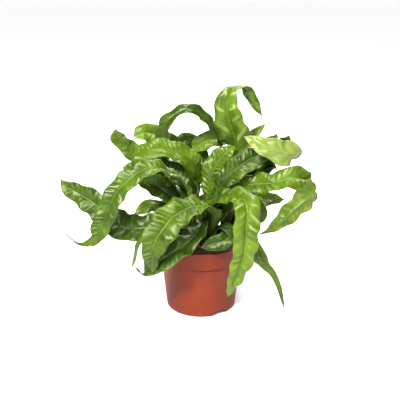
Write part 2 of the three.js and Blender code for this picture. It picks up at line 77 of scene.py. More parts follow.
class NodeTree:
    def __init__(self, tree):
        self.tree = tree

    # Adds one node: its settings first, then the values or wires of its sockets, by name or place.
    def node(self, kind, settings=None, **sockets):
        made = self.tree.nodes.new(kind)
        for name, value in (settings or {}).items():
            setattr(made, name, value)
        for name, value in sockets.items():
            byPlace = name[0] == "i" and name[1:].isdigit()
            self.feed(made.inputs[int(name[1:]) if byPlace else name.replace("_", " ")], value)
        return made

    # Adds one node and gives the wire of one of its outputs.
    def get(self, kind, settings=None, output=0, **sockets):
        return self.out(self.node(kind, settings, **sockets), output)

    def out(self, made, output=0):
        return Wire(self, made.outputs[output])

    def feed(self, socket, value):
        if isinstance(value, Wire):
            self.tree.links.new(value.socket, socket)
        else:
            socket.default_value = (*value, 1) if socket.type == "RGBA" else value

    def combine(self, operation, a, b):
        vectors = [isinstance(v, tuple) or (isinstance(v, Wire) and v.isVector()) for v in (a, b)]
        if not any(vectors):
            return self.math(operation, a, b)
        if operation == "MULTIPLY" and not all(vectors):
            vector, number = (a, b) if vectors[0] else (b, a)
            return self.get("ShaderNodeVectorMath", {"operation": "SCALE"}, i0=vector, Scale=number)
        return self.vector(operation, a, b)

    def math(self, operation, *values):
        sockets = {f"i{place}": value for place, value in enumerate(values)}
        return self.get("ShaderNodeMath", {"operation": operation}, **sockets)

    def vector(self, operation, *values, output=0):
        sockets = {f"i{place}": value for place, value in enumerate(values)}
        return self.get("ShaderNodeVectorMath", {"operation": operation}, output, **sockets)

    # 0 below low, 1 above high and a smooth step between them.
    def smooth(self, value, low, high):
        settings = {"interpolation_type": "SMOOTHSTEP"}
        return self.get("ShaderNodeMapRange", settings, i0=value, i1=low, i2=high)

    def mixVector(self, share, a, b):
        return self.get("ShaderNodeMix", {"data_type": "VECTOR"}, 1, i0=share, i4=a, i5=b)

    def mixColour(self, share, a, b):
        return self.get("ShaderNodeMix", {"data_type": "RGBA"}, 2, i0=share, i6=a, i7=b)

    def noise(self, place, scale, detail, roughness, output=0):
        return self.get("ShaderNodeTexNoise", {}, output, Vector=place, Scale=scale, Detail=detail,
                        Roughness=roughness)

    # Noise along a line, between -1 and 1.
    def wander(self, value):
        line = self.get("ShaderNodeTexNoise", {"noise_dimensions": "1D"}, W=value, Scale=1.0, Detail=1.0)
        return (line - 0.5) * 2

    def height(self, place):
        return self.get("ShaderNodeSeparateXYZ", {}, "Z", i0=place)


def newObject(name, data):
    made = bpy.data.objects.new(name, data)
    bpy.context.scene.collection.objects.link(made)
    return made


# Geometry trees

socketKinds = {
    int: "NodeSocketInt",
    float: "NodeSocketFloat",
    tuple: "NodeSocketVector",
    type(None): "NodeSocketMaterial",
}


def newGrowth(name, inputs):
    tree = bpy.data.node_groups.new(name, "GeometryNodeTree")
    tree.interface.new_socket(name="Geometry", in_out="OUTPUT", socket_type="NodeSocketGeometry")
    tree.interface.new_socket(name="Geometry", in_out="INPUT", socket_type="NodeSocketGeometry")
    for label, value in inputs.items():
        socket = tree.interface.new_socket(name=label, in_out="INPUT", socket_type=socketKinds[type(value)])
        if value is not None:
            socket.default_value = value
    maker = NodeTree(tree)
    entry = maker.node("NodeGroupInput")
    wires = {socket.name: Wire(maker, socket) for socket in entry.outputs if socket.name}
    return tree, maker, wires


def endGrowth(maker, geometry, material):
    real = maker.get("GeometryNodeRealizeInstances", {}, i0=geometry)
    done = maker.get("GeometryNodeSetMaterial", {}, Geometry=real, Material=material)
    maker.node("NodeGroupOutput", {}, i0=done)


def plainMesh(carrier):
    bpy.context.view_layer.update()
    evaluated = carrier.evaluated_get(bpy.context.evaluated_depsgraph_get())
    return bpy.data.meshes.new_from_object(evaluated)


# Runs a growth on a mesh and gives back the plain mesh object that comes out.
def grow(name, seedMesh, tree, values):
    carrier = newObject(name + "_seed", seedMesh)
    modifier = carrier.modifiers.new("growth", "NODES")
    modifier.node_group = tree
    for socket in tree.interface.items_tree:
        if socket.in_out == "INPUT" and socket.name in values:
            modifier[socket.identifier] = values[socket.name]
    grown = plainMesh(carrier)
    grown.name = name
    piece = newObject(name, grown)
    bpy.data.objects.remove(carrier)
    return piece


# A CAD node's mesh is loose triangles, which are joined here.
def mergedCopy(node):
    net = bmesh.new()
    net.from_mesh(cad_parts[node].data)
    bmesh.ops.remove_doubles(net, verts=net.verts, dist=1e-6)
    return net


def meshOf(net, name):
    mesh = bpy.data.meshes.new(name)
    net.to_mesh(mesh)
    net.free()
    return mesh


# Materials

def newMaterial(name):
    material = bpy.data.materials.new(name)
    material.use_nodes = True
    material.node_tree.nodes.clear()
    return material, NodeTree(material.node_tree)


def endMaterial(maker, shader):
    maker.node("ShaderNodeOutputMaterial", {}, Surface=shader)


def reliefFrom(maker, relief, height):
    strength, distance = relief
    return maker.get("ShaderNodeBump", {}, Strength=strength, Distance=distance, Height=height)


frondColours = {
    "deep": (0.0050, 0.019, 0.0002),
    "bright": (0.069, 0.123, 0.003),
    # painted highlight: the pale colour along the pleat crests
    "vein": (0.15, 0.22, 0.04),
    "crestHighlight": (0.19, 0.25, 0.08),
    "under": (0.052, 0.088, 0.012),
    "edge": (0.10, 0.14, 0.017),
    # partly the stipe's own dark colour, partly painted shade for the crowded middle of the plant
    "stipeDarkAndShade": (0.012, 0.014, 0.003),
    "dry": (0.18, 0.165, 0.03),
    "through": (0.11, 0.18, 0.005),
    "roughness": (0.26, 0.38),
    "gloss": 0.31,
    "seenThrough": 0.16,
}
youngColours = {
    **frondColours,
    "deep": (0.085, 0.13, 0.017),
    "bright": (0.170, 0.210, 0.042),
    "vein": (0.24, 0.28, 0.10),
    # painted highlight along the pleat crests
    "crestHighlight": (0.26, 0.30, 0.12),
    "under": (0.14, 0.18, 0.045),
    "edge": (0.23, 0.26, 0.08),
    "through": (0.20, 0.25, 0.04),
    "roughness": (0.25, 0.36),
    "gloss": 0.42,
    "seenThrough": 0.28,
}
# The marks on both skins: a "show" is how much of a mark's colour is mixed in.
frondMarks = {
    "clouds": (38, 3, 0.55),  # cells a metre, detail and roughness of a noise
    "grain": (420, 2, 0.6),
    "blotches": (55, 3, 0.6),
    "shadeEnds": (0.02, 0.98),
    # painted shade in the pleat valleys and painted light on the crests
    "pleatPaintedShade": 0.11,
    "grainShade": 0.18,
    "veinsPerPleat": 6,
    "veinLine": (0.72, 1.0),
    "veinStart": (0.03, 0.16),  # shares of the way from the midrib to the margin
    "veinShow": 0.26,
    # painted highlight along the pleat crests
    "crestHighlightLine": (0.9, 1.6),
    "crestHighlightShow": 0.6,
    "underShow": 0.45,
    "ribReach": (0.35 * mm, 1.1 * mm),  # from the midrib outwards
    "ribShow": 0.18,
    "edgeReach": (0.15 * mm, 0.75 * mm),  # from the margin inwards
    "edgeShow": 0.5,
    "blotchLine": (0.68, 0.88),
    "blotchOutward": 0.16,
    "blotchDryness": 0.3,
    "blotchRise": (0.0, 0.7),
    "tipReach": (1.5 * mm, 7 * mm),
    "tipShow": 0.15,
    "tipDryness": 0.6,
    # the foot's darkening is partly painted shade of the plant's crowded middle
    "footReach": (14 * mm, 75 * mm),
    "footShow": 0.8,
    "narrowHalf": (1.5 * mm, 4.5 * mm),
    "narrowShow": 0.5,
    "underRoughness": 0.12,
    "grainRoughness": 0.1,
    "stripeRelief": 0.5,
    "grainRelief": 0.8,
    "relief": (0.22, 0.25 * mm),
    "refraction": 1.45,
    "glossTint": (0.93, 1.0, 0.6),
}


# along and half are in metres, across is -1 at one margin and 1 at the other, top is 1 above.
def makeFrondSkin(name, colours):
    material, maker = newMaterial(name)
    marks = frondMarks

    def reading(attribute):
        return maker.get("ShaderNodeAttribute", {"attribute_name": attribute}, "Fac")

    def marked(colour, mark, show):
        return maker.mixColour(show, colour, colours[mark])

    place = maker.get("ShaderNodeTexCoord", output="Object")
    along, across, half = reading("along"), reading("across"), reading("half")
    top, tone, pleat, vein = reading("top"), reading("tone"), reading("pleat"), reading("vein")
    toTip, dryness = reading("toTip"), reading("dryness")
    outward = maker.math("ABSOLUTE", across)

    clouds = maker.noise(place, *marks["clouds"])
    grain = maker.noise(place, *marks["grain"]) - 0.5
    # Painted shade and light: the pleat valleys are darker and the crests lighter; the frond's tone also
    # holds painted shade and light
    shade = clouds - 0.5 + tone + pleat * marks["pleatPaintedShade"] + grain * marks["grainShade"]
    colour = maker.mixColour(maker.smooth(shade, *marks["shadeEnds"]), colours["deep"], colours["bright"])

    # Fine side veins run out from the midrib in step with the pleats.
    stripes = maker.math("SINE", vein * (fullTurn * marks["veinsPerPleat"]))
    veins = maker.smooth(stripes, *marks["veinLine"]) * maker.smooth(outward, *marks["veinStart"])
    colour = marked(colour, "vein", veins * marks["veinShow"])
    # Painted highlight: a pale colour mixed in along the pleat crests, where the light glints
    colour = marked(colour, "crestHighlight", maker.smooth(pleat, *marks["crestHighlightLine"]) * marks["crestHighlightShow"])
    colour = maker.mixColour(top, marked(colour, "under", marks["underShow"]), colour)

    rib = 1 - maker.smooth(outward * half, *marks["ribReach"])
    colour = marked(colour, "vein", rib * marks["ribShow"])
    edge = 1 - maker.smooth((1 - outward) * half, *marks["edgeReach"])
    colour = marked(colour, "edge", edge * marks["edgeShow"])
    patchy = maker.noise(place, *marks["blotches"])
    patchy = patchy + outward * marks["blotchOutward"] + dryness * marks["blotchDryness"]
    blotches = maker.smooth(patchy, *marks["blotchLine"]) * maker.smooth(dryness, *marks["blotchRise"])
    colour = marked(colour, "dry", blotches)
    tip = 1 - maker.smooth(toTip, *marks["tipReach"])
    colour = marked(colour, "dry", tip * (marks["tipShow"] + dryness * marks["tipDryness"]))
    # Darker towards the foot and on the narrow stipe: partly the stipe's own dark colour, partly painted
    # shade of the crowded middle
    foot = 1 - maker.smooth(along, *marks["footReach"])
    colour = marked(colour, "stipeDarkAndShade", foot * marks["footShow"])
    narrow = 1 - maker.smooth(half, *marks["narrowHalf"])
    colour = marked(colour, "stipeDarkAndShade", narrow * marks["narrowShow"])

    low, high = colours["roughness"]
    roughness = low + (high - low) * clouds + (1 - top) * marks["underRoughness"]
    roughness = roughness + grain * marks["grainRoughness"]
    grooves = stripes * marks["stripeRelief"] + grain * marks["grainRelief"]
    skin = maker.get("ShaderNodeBsdfPrincipled", {}, Base_Color=colour, Roughness=roughness,
                     Normal=reliefFrom(maker, marks["relief"], grooves), IOR=marks["refraction"],
                     Specular_IOR_Level=colours["gloss"], Specular_Tint=marks["glossTint"])
    glow = maker.get("ShaderNodeBsdfTranslucent", {}, Color=colours["through"])
    both = maker.get("ShaderNodeMixShader", {}, i0=colours["seenThrough"], i1=skin, i2=glow)
    endMaterial(maker, both)
    return material


frondSkin = makeFrondSkin("frondSkin", frondColours)
youngSkin = makeFrondSkin("youngFrondSkin", youngColours)
print("frond skins made")


# Camera, light and floor

camera = {
    "fromPot": (-1.44 * mm, -800 * mm, 430 * mm),
    "down": 18.8,  # degrees
    "lens": 54.09,
    "sensor": 36,
    "nearest": 10 * mm,
}


def setCamera():
    data = bpy.data.cameras.new("camera")
    data.sensor_width = camera["sensor"]
    data.lens = camera["lens"]
    data.clip_start = camera["nearest"]
    eye = newObject("camera", data)
    low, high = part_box("pot")
    eye.location = Vector(((low.x + high.x) / 2, (low.y + high.y) / 2, 0)) + Vector(camera["fromPot"])
    eye.rotation_euler = (math.radians(90 - camera["down"]), 0, 0)
    bpy.context.scene.camera = eye


studio = {
    "floor": 60.0,
    "floorColour": (0.64, 0.64, 0.64),
    "floorRoughness": 0.9,
    "floorGloss": 0.2,
    "horizon": (0.28, 0.28, 0.28),
    "overhead": (0.10, 0.10, 0.10),
    "horizonRise": (0.04, 0.30),  # sines of the heights between which the sky turns darker
    "backdrop": (0.97, 0.97, 0.97),  # what the camera sees in the sky's place
    "sun": {"place": (0.15, -1.5, 2.1), "angle": 27, "strength": 5.8},
    "lamps": [  # name, place, size, watts
        ("keyLamp", (-0.75, -1.3, 1.5), 0.26, 98),
        ("topLamp", (0.1, 0.6, 2.0), 0.4, 44),
        ("lowLamp", (-0.20, -1.05, 0.07), 0.12, 4.2),
        ("sideLamp", (0.62, -0.85, 0.09), 0.12, 2.4),
        ("backLamp", (0.35, 1.5, 0.9), 0.7, 26),
    ],
    "aim": (0.0, 0.0, 0.17),
}


def hangLamp(light, place):
    lamp = newObject(light.name, light)
    lamp.location = place
    aim = Vector(studio["aim"]) - Vector(place)
    lamp.rotation_euler = aim.to_track_quat("-Z", "Y").to_euler()


def layFloor():
    half = studio["floor"] / 2
    corners = [(-half, -half, 0), (half, -half, 0), (half, half, 0), (-half, half, 0)]
    mesh = bpy.data.meshes.new("floor")
    mesh.from_pydata(corners, [], [(0, 1, 2, 3)])
    floor = newObject("floor", mesh)
    material, maker = newMaterial("floorPaint")
    paint = maker.get("ShaderNodeBsdfPrincipled", {}, Base_Color=studio["floorColour"],
                      Roughness=studio["floorRoughness"], Specular_IOR_Level=studio["floorGloss"])
    endMaterial(maker, paint)
    mesh.materials.append(material)


def setLights():
    for name, place, size, watts in studio["lamps"]:
        light = bpy.data.lights.new(name, "AREA")
        light.size = size
        light.energy = watts
        hangLamp(light, place)
    sun = bpy.data.lights.new("sun", "SUN")
    sun.angle = math.radians(studio["sun"]["angle"])
    sun.energy = studio["sun"]["strength"]
    hangLamp(sun, studio["sun"]["place"])
    world = bpy.data.worlds.new("studio")
    world.use_nodes = True
    maker = NodeTree(world.node_tree)
    up = maker.height(maker.get("ShaderNodeTexCoord", output="Generated"))
    sky = maker.mixColour(maker.smooth(up, *studio["horizonRise"]), studio["horizon"], studio["overhead"])
    seen = maker.get("ShaderNodeLightPath", output="Is Camera Ray")
    background = world.node_tree.nodes["Background"]
    maker.feed(background.inputs["Color"], maker.mixColour(seen, sky, studio["backdrop"]))
    bpy.context.scene.world = world
    bpy.context.scene.view_settings.view_transform = "Standard"


setCamera()
layFloor()
setLights()
print("camera and studio set")


# Fronds

frondGrowth = {
    "Rows": 5,  # between two sections
    "Columns": 21,
    "Blade": 0.5 * mm,
    "Stipe": 1.7 * mm,
    "Rib height": 0.8 * mm,
    "Rib width": 1.1 * mm,
    "Pleat depth": 0.32 * mm,
    "Pleat length": 7.0 * mm,
    "Sided": 0.0,  # how much deeper the pleats are on the right than on the left
    "Slant": 0.6,
    "Ruffle depth": 0.8 * mm,
    "Ruffle length": 26.0 * mm,
    "Bulge": 0.10,
    "Width": 1.0,
    "Tip length": 9.0 * mm,
    "Tone": 0.45,
    # partly the frond's own tone towards the tip, partly painted light and shade along the frond
    "Tip tone": 0.0,
    # painted light and shade: one half of the blade lighter and the other darker, as light falls from one
    # side
    "Side tone": 0.0,
    "Dryness": 0.0,
    "Dull below": 1.0,
    "Seed": 1,
    "Skin": None,
}
# The form of waves, folds and section that all fronds share
frondForm = {
    "gather": 1.25,  # above 1 the columns stand closer near the midrib
    "tipCurve": 0.6,
    "tipLeast": 0.06,
    "opening": (3.0 * mm, 9.0 * mm),  # half widths between which the waves set in
    "stemEnd": (2.0 * mm, 5.5 * mm),  # half widths between which the stipe flattens to a blade
    "seedStep": 13.7,
    "sideStep": 3.1,
    "drift": 0.9,
    "driftPleats": 3.5,
    "strength": 0.7,
    "strengthSwing": 0.7,
    "strengthPleats": 3,
    "crest": 2.4,
    "valley": 0.9,
    "pleatStart": (0.0, 0.25),  # shares of the way from the midrib to the margin
    "pleatEnd": (0.7, 1.0),
    "pleatLoss": 0.4,
    "pleatReading": 0.5 * mm,
    "ruffleDrift": 4,
    "ruffleWaves": 2.2,
    "rufflePower": 3.0,
    "thinning": 0.3,
    "roundness": 1.02,
    "ribFade": 60 * mm,
    "ribAtTip": 0.3,
    "groove": 0.4,
    "toneRise": (0.2, 0.8),  # shares of the frond's length
    "dryRise": (0.45, 0.65),
}


def makeFrondGrowth():
    tree, maker, given = newGrowth("frondGrowth", frondGrowth)
    form = frondForm
    points = maker.get("GeometryNodeMeshToPoints", {}, Mesh=given["Geometry"])
    railNumber = maker.get("GeometryNodeInputNamedAttribute", {"data_type": "INT"}, Name="rail")
    order = maker.get("GeometryNodeInputIndex")
    rails = maker.get("GeometryNodePointsToCurves", {}, Points=points, Curve_Group_ID=railNumber,
                      Weight=order)
    rails = maker.get("GeometryNodeCurveSplineType", {"spline_type": "CATMULL_ROM"}, Curve=rails)
    rails = maker.get("GeometryNodeSetSplineResolution", {}, Geometry=rails, Resolution=given["Rows"])
    rails = maker.get("GeometryNodeResampleCurve", {"mode": "EVALUATED"}, Curve=rails)
    pointCount = maker.get("GeometryNodeAttributeDomainSize", {"component": "CURVE"}, "Point Count",
                           Geometry=rails)
    rows = pointCount / 3

    # The blade starts as a tube of two layers of columns, which is closed by its caps.
    around = given["Columns"] * 2
    tube = maker.get("GeometryNodeMeshCylinder", {"fill_type": "NGON"}, Vertices=around,
                     Side_Segments=rows - 1, Radius=1.0, Depth=1.0)
    position = maker.get("GeometryNodeInputPosition")
    spot = maker.node("ShaderNodeSeparateXYZ", {}, i0=position)
    row = maker.math("ROUND", (maker.out(spot, "Z") + 0.5) * (rows - 1))
    turn = maker.math("ARCTAN2", maker.out(spot, "Y"), maker.out(spot, "X")) / fullTurn
    step = maker.math("FLOORED_MODULO", maker.math("ROUND", turn * around), around)
    under = maker.math("GREATER_THAN", step, given["Columns"] - 0.5)
    top = 1 - under
    column = step - under * given["Columns"]
    spread = (1 - 2 * column / (given["Columns"] - 1)) * (top * 2 - 1)
    outward = maker.math("POWER", maker.math("ABSOLUTE", spread), form["gather"])
    sign = maker.math("SIGN", spread)
    across = outward * sign

    def sample(value, index, kind="FLOAT_VECTOR"):
        return maker.get("GeometryNodeSampleIndex", {"data_type": kind}, Geometry=rails, Value=value,
                         Index=maker.math("ROUND", index))

    lengthField = maker.get("GeometryNodeSplineParameter", output="Length")
    left = sample(position, row)
    middle = sample(position, row + rows)
    right = sample(position, row + rows * 2)
    tangent = sample(maker.get("GeometryNodeInputTangent"), row + rows)
    along = sample(lengthField, row + rows, "FLOAT")
    total = sample(lengthField, rows * 2 - 1, "FLOAT")

    chord = right - left
    side = maker.vector("NORMALIZE", chord - tangent * maker.vector("DOT_PRODUCT", chord, tangent, output=1))
    normal = maker.vector("NORMALIZE", maker.vector("CROSS_PRODUCT", tangent, side))
    margin = maker.mixVector(maker.math("GREATER_THAN", across, 0.0), left, right)
    half = maker.vector("LENGTH", chord, output=1) * 0.5
    remaining = total - along
    pointed = maker.math("MINIMUM", maker.math("MAXIMUM", remaining / given["Tip length"], 0.0), 1.0)
    tip = maker.math("MAXIMUM", maker.math("POWER", pointed, form["tipCurve"]), form["tipLeast"])
    foot = middle + (margin - middle) * (outward * tip * given["Width"])

    # Pleats in step with the side veins, which drift and change in strength along the frond
    opened = maker.smooth(half, *form["opening"])
    seed = given["Seed"] * form["seedStep"]
    sideSeed = sign * form["sideStep"]
    drift = maker.wander(along / (given["Pleat length"] * form["driftPleats"]) + seed + sideSeed)
    vein = (along - outward * half * given["Slant"]) / given["Pleat length"] + drift * form["drift"]
    swing = maker.wander(along / (given["Pleat length"] * form["strengthPleats"]) + seed * 2 + sideSeed)
    strong = (form["strength"] + form["strengthSwing"] * swing) * (1 + given["Sided"] * sign)
    crest = maker.math("COSINE", vein * fullTurn) * 0.5 + 0.5
    pleat = (form["crest"] * crest * crest - form["valley"]) * strong
    reachOut = 1 - form["pleatLoss"] * maker.smooth(outward, *form["pleatEnd"])
    reachOut = maker.smooth(outward, *form["pleatStart"]) * reachOut
    lift = pleat * reachOut * given["Pleat depth"]

    # The margin's ruffle and the rise between midrib and margin
    waver = maker.wander(along / (given["Ruffle length"] * form["ruffleWaves"]) + seed * 3 + sideSeed)
    ripple = maker.math("SINE", along / given["Ruffle length"] * fullTurn + form["ruffleDrift"] * waver)
    lift = lift + ripple * maker.math("POWER", outward, form["rufflePower"]) * given["Ruffle depth"]
    lift = lift + outward * (1 - outward) * 4 * given["Bulge"] * half
    lift = lift * opened * tip

    # Thickness, with a raised midrib below and a groove above it
    fromRib = outward * half / given["Rib width"]
    ridge = maker.math("EXPONENT", fromRib * fromRib * -1)
    stem = 1 - maker.smooth(half, *form["stemEnd"])
    rounded = maker.math("SQRT", form["roundness"] - outward * outward)
    bladeHalf = given["Blade"] * 0.5 * (1 - form["thinning"] * outward)
    stipeHalf = given["Stipe"] * 0.5 * rounded
    fade = maker.smooth(remaining, 0.0, form["ribFade"])
    ribShare = form["ribAtTip"] + (1 - form["ribAtTip"]) * fade
    ribLow = ridge * given["Rib height"] * ribShare * (1 - stem)
    groove = ridge * given["Rib height"] * form["groove"] * fade * (1 - stem)
    thick = bladeHalf * (1 - stem) + stipeHalf * stem
    above = lift + thick - groove
    below = lift - thick - ribLow
    height = above * top + below * under

    # Painted light and shade along and across the blade, added to the frond's own tone
    tipward = given["Tip tone"] * maker.smooth(along / total, *form["toneRise"])
    readings = {
        "along": along,
        "toTip": remaining,
        "across": across,
        "half": half,
        "vein": vein,
        "tone": given["Tone"] + given["Side tone"] * across + tipward,
        "dryness": given["Dryness"] * maker.smooth(along / total, *form["dryRise"]),
        "top": 1 - under * given["Dull below"],
        "pleat": pleat * reachOut * opened * (given["Pleat depth"] / form["pleatReading"]),
    }
    blade = tube
    for name, value in readings.items():
        blade = maker.get("GeometryNodeStoreNamedAttribute", {}, Geometry=blade, Name=name, Value=value)
    blade = maker.get("GeometryNodeSetPosition", {}, Geometry=blade, Position=foot + normal * height)
    endGrowth(maker, maker.get("GeometryNodeSetShadeSmooth", {}, Geometry=blade), given["Skin"])
    return tree


def onward(vert, seen):
    return {edge.other_vert(vert) for edge in vert.link_edges} - seen


# A CAD frond is rings of six corners, from the left margin over the top to the right and back below.
# Only the left top corner meets three corners of the next ring, and only the right low one meets one.
def firstRing(net, crownBox):
    low, high = crownBox
    inCrown = [v for v in net.verts if low.x < v.co.x < high.x and low.y < v.co.y < high.y]
    ring = sorted(inCrown, key=lambda v: v.co.z)[:6]
    ahead = {v: onward(v, set(ring)) for v in ring}
    leftTop = next(v for v in ring if len(ahead[v]) == 3)
    rightLow = next(v for v in ring if len(ahead[v]) == 1)
    across = (rightLow.co - leftTop.co).xy
    beside = [v for v in ring if v is not rightLow and ahead[rightLow] <= ahead[v]]
    middleLow, rightTop = sorted(beside, key=lambda v: across.cross((v.co - leftTop.co).xy))
    rest = [v for v in ring if v not in (leftTop, rightLow, middleLow, rightTop)]
    middleTop, leftLow = sorted(rest, key=lambda v: -len(ahead[v] & ahead[rightTop]))
    return [leftTop, middleTop, rightTop, rightLow, middleLow, leftLow]


def nextRing(ring, seen):
    ahead = [onward(v, seen) for v in ring]
    if not ahead[3]:
        return None
    (rightLow,) = ahead[3]
    (rightTop,) = ahead[2] - {rightLow}
    (middleLow,) = ahead[4] - {rightLow}
    (middleTop,) = ahead[1] - {rightTop}
    (leftLow,) = ahead[5] - {middleLow}
    (leftTop,) = ahead[0] - {middleTop, leftLow}
    return [leftTop, middleTop, rightTop, rightLow, middleLow, leftLow]


# The left margin, the midrib and the right margin of a CAD frond, each a list of points.
def readRails(node):
    net = mergedCopy(node)
    ring = firstRing(net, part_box("crown"))
    seen = set()
    rails = [[], [], []]
    while ring:
        for rail, (above, below) in enumerate(((0, 5), (1, 4), (2, 3))):
            rails[rail].append((ring[above].co + ring[below].co) / 2)
        seen.update(ring)
        ring = nextRing(ring, seen)
    net.free()
    return rails


def railMesh(node):
    rails = readRails(node)
    mesh = bpy.data.meshes.new(node + "_rails")
    mesh.from_pydata([point for rail in rails for point in rail], [], [])
    number = mesh.attributes.new("rail", "INT", "POINT")
    number.data.foreach_set("value", [k for k, rail in enumerate(rails) for point in rail])
    return mesh


# What sets single fronds apart from the rule. Each Tone is partly the frond's own tone and partly painted
# shade and light: darker deep inside or in shade, lighter in the light
frondLooks = {
    "frond_lime_leaf": {"Skin": youngSkin, "Pleat length": 21 * mm, "Pleat depth": 0.6 * mm, "Slant": 1.4,
                        "Tone": 0.5, "Dull below": 0.0, "Dryness": 0.25, "Rib height": 0.15 * mm,
                        "Bulge": 0.18, "Width": 1.08},
    "frond_right_spiral": {"Pleat depth": 0.5 * mm, "Tone": 0.52, "Tip tone": 0.06, "Dull below": 0.1,
                           "Dryness": 0.34, "Width": 1.12},
    "frond_pale_fold": {"Tone": 0.7, "Width": 1.2, "Ruffle depth": 0.3 * mm},
    "frond_back_left_twist": {"Tone": 0.6, "Width": 1.1},
    "frond_back_left_loop": {"Tone": 0.55, "Width": 1.15},
    "frond_inner_curl": {"Tone": 0.12, "Width": 1.35},
    "frond_big_left_arch": {"Pleat depth": 0.5 * mm, "Sided": -0.6, "Tone": 0.5, "Tip tone": -0.18},
    "frond_front_left_strap": {"Pleat depth": 0.55 * mm, "Sided": -0.4, "Tone": 0.43, "Tip tone": -0.05,
                               "Width": 1.15},
    "frond_pot_left_strap": {"Tone": 0.18, "Width": 1.1},
    "frond_upper_left_arch": {"Pleat depth": 0.36 * mm, "Sided": -0.6, "Tone": 0.56},
    "frond_center_fan": {"Pleat depth": 0.7 * mm, "Tone": 0.48, "Width": 1.1},
    "frond_center_dark": {"Tone": 0.1},
    "frond_left_shade": {"Pleat depth": 0.5 * mm, "Tone": 0.0},
    "frond_left_inner": {"Tone": 0.2},
    "frond_left_flag": {"Pleat length": 8.5 * mm, "Tone": 0.22, "Tip tone": 0.05, "Width": 1.15},
    "frond_hoop": {"Tone": 0.27, "Width": 1.2},
    # the top flag's halves and tip carry painted light and shade
    "frond_top_flag": {"Pleat length": 25 * mm, "Pleat depth": 0.8 * mm, "Tone": -0.05, "Tip tone": 0.8,
                       "Side tone": -0.15, "Bulge": 0.2},
    "frond_front_right_strap": {"Pleat length": 12 * mm, "Pleat depth": 0.6 * mm, "Tone": 0.22,
                                "Tip tone": 0.58, "Dull below": 0.0, "Bulge": 0.18,
                                "Rib height": 0.35 * mm},
    "frond_left_paddle": {"Tone": 0.5, "Tip tone": 0.1, "Dull below": 0.2, "Width": 1.15},
    "frond_olive_tip": {"Tone": 0.85, "Dull below": 0.0, "Dryness": 0.45},
    "frond_ruffled_back": {"Tone": 0.2, "Width": 1.2},
    "frond_right_peak": {"Tone": 0.2, "Width": 1.2},
    "frond_right_low": {"Tone": 1.0, "Dull below": 0.0, "Width": 1.2},
    "frond_right_drop": {"Tone": 0.42},
    "frond_left_mid_leaf": {"Pleat depth": 0.2 * mm, "Tone": 0.62, "Width": 1.15},
    "frond_rim_curl": {"Tone": 0.15},
    "frond_center_broad": {"Pleat depth": 0.5 * mm, "Tone": 0.24},
    "frond_right_wing": {"Tone": 0.25, "Width": 1.15},
    "frond_left_low": {"Tone": 0.15},
}


def growFronds():
    tree = makeFrondGrowth()
    nodes = sorted(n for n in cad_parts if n.startswith("frond_"))
    for number, node in enumerate(nodes):
        values = {"Seed": number + 1, "Skin": frondSkin, **frondLooks.get(node, {})}
        piece = grow(node.replace("frond_", "blade_"), railMesh(node), tree, values)
        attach(piece, "root")
        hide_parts(node)
    print("fronds grown:", len(nodes))


growFronds()


# Pot

potLooks = {
    "clay": (0.080, 0.0100, 0.0030),
    "pale": (0.124, 0.0180, 0.0056),
    # painted shade, not dirt: the colour of the dark ring under the collar
    "collarShade": (0.020, 0.006, 0.003),
    "dust": (0.18, 0.08, 0.05),
    "clouds": (24, 4, 0.6),  # cells a metre, detail and roughness of a noise
    "grain": (900, 2, 0.6),
    "specks": (260, 3, 0.7),
    "speckLine": (0.66, 0.74),
    "speckShow": 0.25,
    "ringBelow": 0.5 * mm,  # painted shade: the dark line in the corner under the collar, where the collar shades the body
    "ringReach": (0.3 * mm, 1.7 * mm),
    "ringShow": 0.75,
    "relief": (0.12, 0.2 * mm),
    "roughness": (0.42, 0.60),
    "gloss": 0.13,
}
potShape = {
    "sides": 160,
    "wall": 1.8 * mm,
    "footRing": 2.8 * mm,
    "footDrop": 10 * mm,  # how much less than the rim's radius the foot's is
    "collar": 25 * mm,
    "collarStep": 2.2 * mm,
    "collarTaper": 1.4 * mm,
    "collarSlope": 0.3 * mm,
    "collarInside": (1.2 * mm, 2.2 * mm),  # the inner wall's step, below and above the outer one
    "bellySteps": 12,
    "belly": 0.85,
    "floorHeight": 7.6 * mm,
    "floorThickness": 1.8 * mm,
    "floorCurve": 3 * mm,
    "floorInset": 0.4 * mm,
    "lip": 2.8 * mm,
    "bead": 2.6 * mm,
    "beadDepth": 0.7 * mm,
    "beadNeck": 1.0 * mm,
    "rounding": 0.9 * mm,
    "roundingMost": 0.45,  # of the shorter side at a corner
    "sharpAbove": 38,  # degrees
    "drains": {"count": 6, "radius": 3.2 * mm, "circle": 34 * mm, "reach": 6 * mm, "sides": 24},
    "notches": {"count": 3, "first": -58, "width": 20.5 * mm, "height": 6.4 * mm, "reach": 8 * mm,
                "sides": 48},
}


def makePotPlastic():
    material, maker = newMaterial("terracottaPlastic")
    place = maker.get("ShaderNodeTexCoord", output="Object")
    clouds = maker.noise(place, *potLooks["clouds"])
    specks = maker.smooth(maker.noise(place, *potLooks["specks"]), *potLooks["speckLine"])
    colour = maker.mixColour(clouds, potLooks["clay"], potLooks["pale"])
    colour = maker.mixColour(specks * potLooks["speckShow"], colour, potLooks["dust"])
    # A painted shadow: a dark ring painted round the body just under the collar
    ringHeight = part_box("pot")[1].z - potShape["collar"] - potLooks["ringBelow"]
    fromRing = maker.math("ABSOLUTE", maker.height(place) - ringHeight)
    ring = 1 - maker.smooth(fromRing, *potLooks["ringReach"])
    colour = maker.mixColour(ring * potLooks["ringShow"], colour, potLooks["collarShade"])
    low, high = potLooks["roughness"]
    grain = maker.noise(place, *potLooks["grain"])
    skin = maker.get("ShaderNodeBsdfPrincipled", {}, Base_Color=colour,
                     Roughness=low + (high - low) * clouds, Specular_IOR_Level=potLooks["gloss"],
                     Normal=reliefFrom(maker, potLooks["relief"], grain))
    endMaterial(maker, skin)
    return material


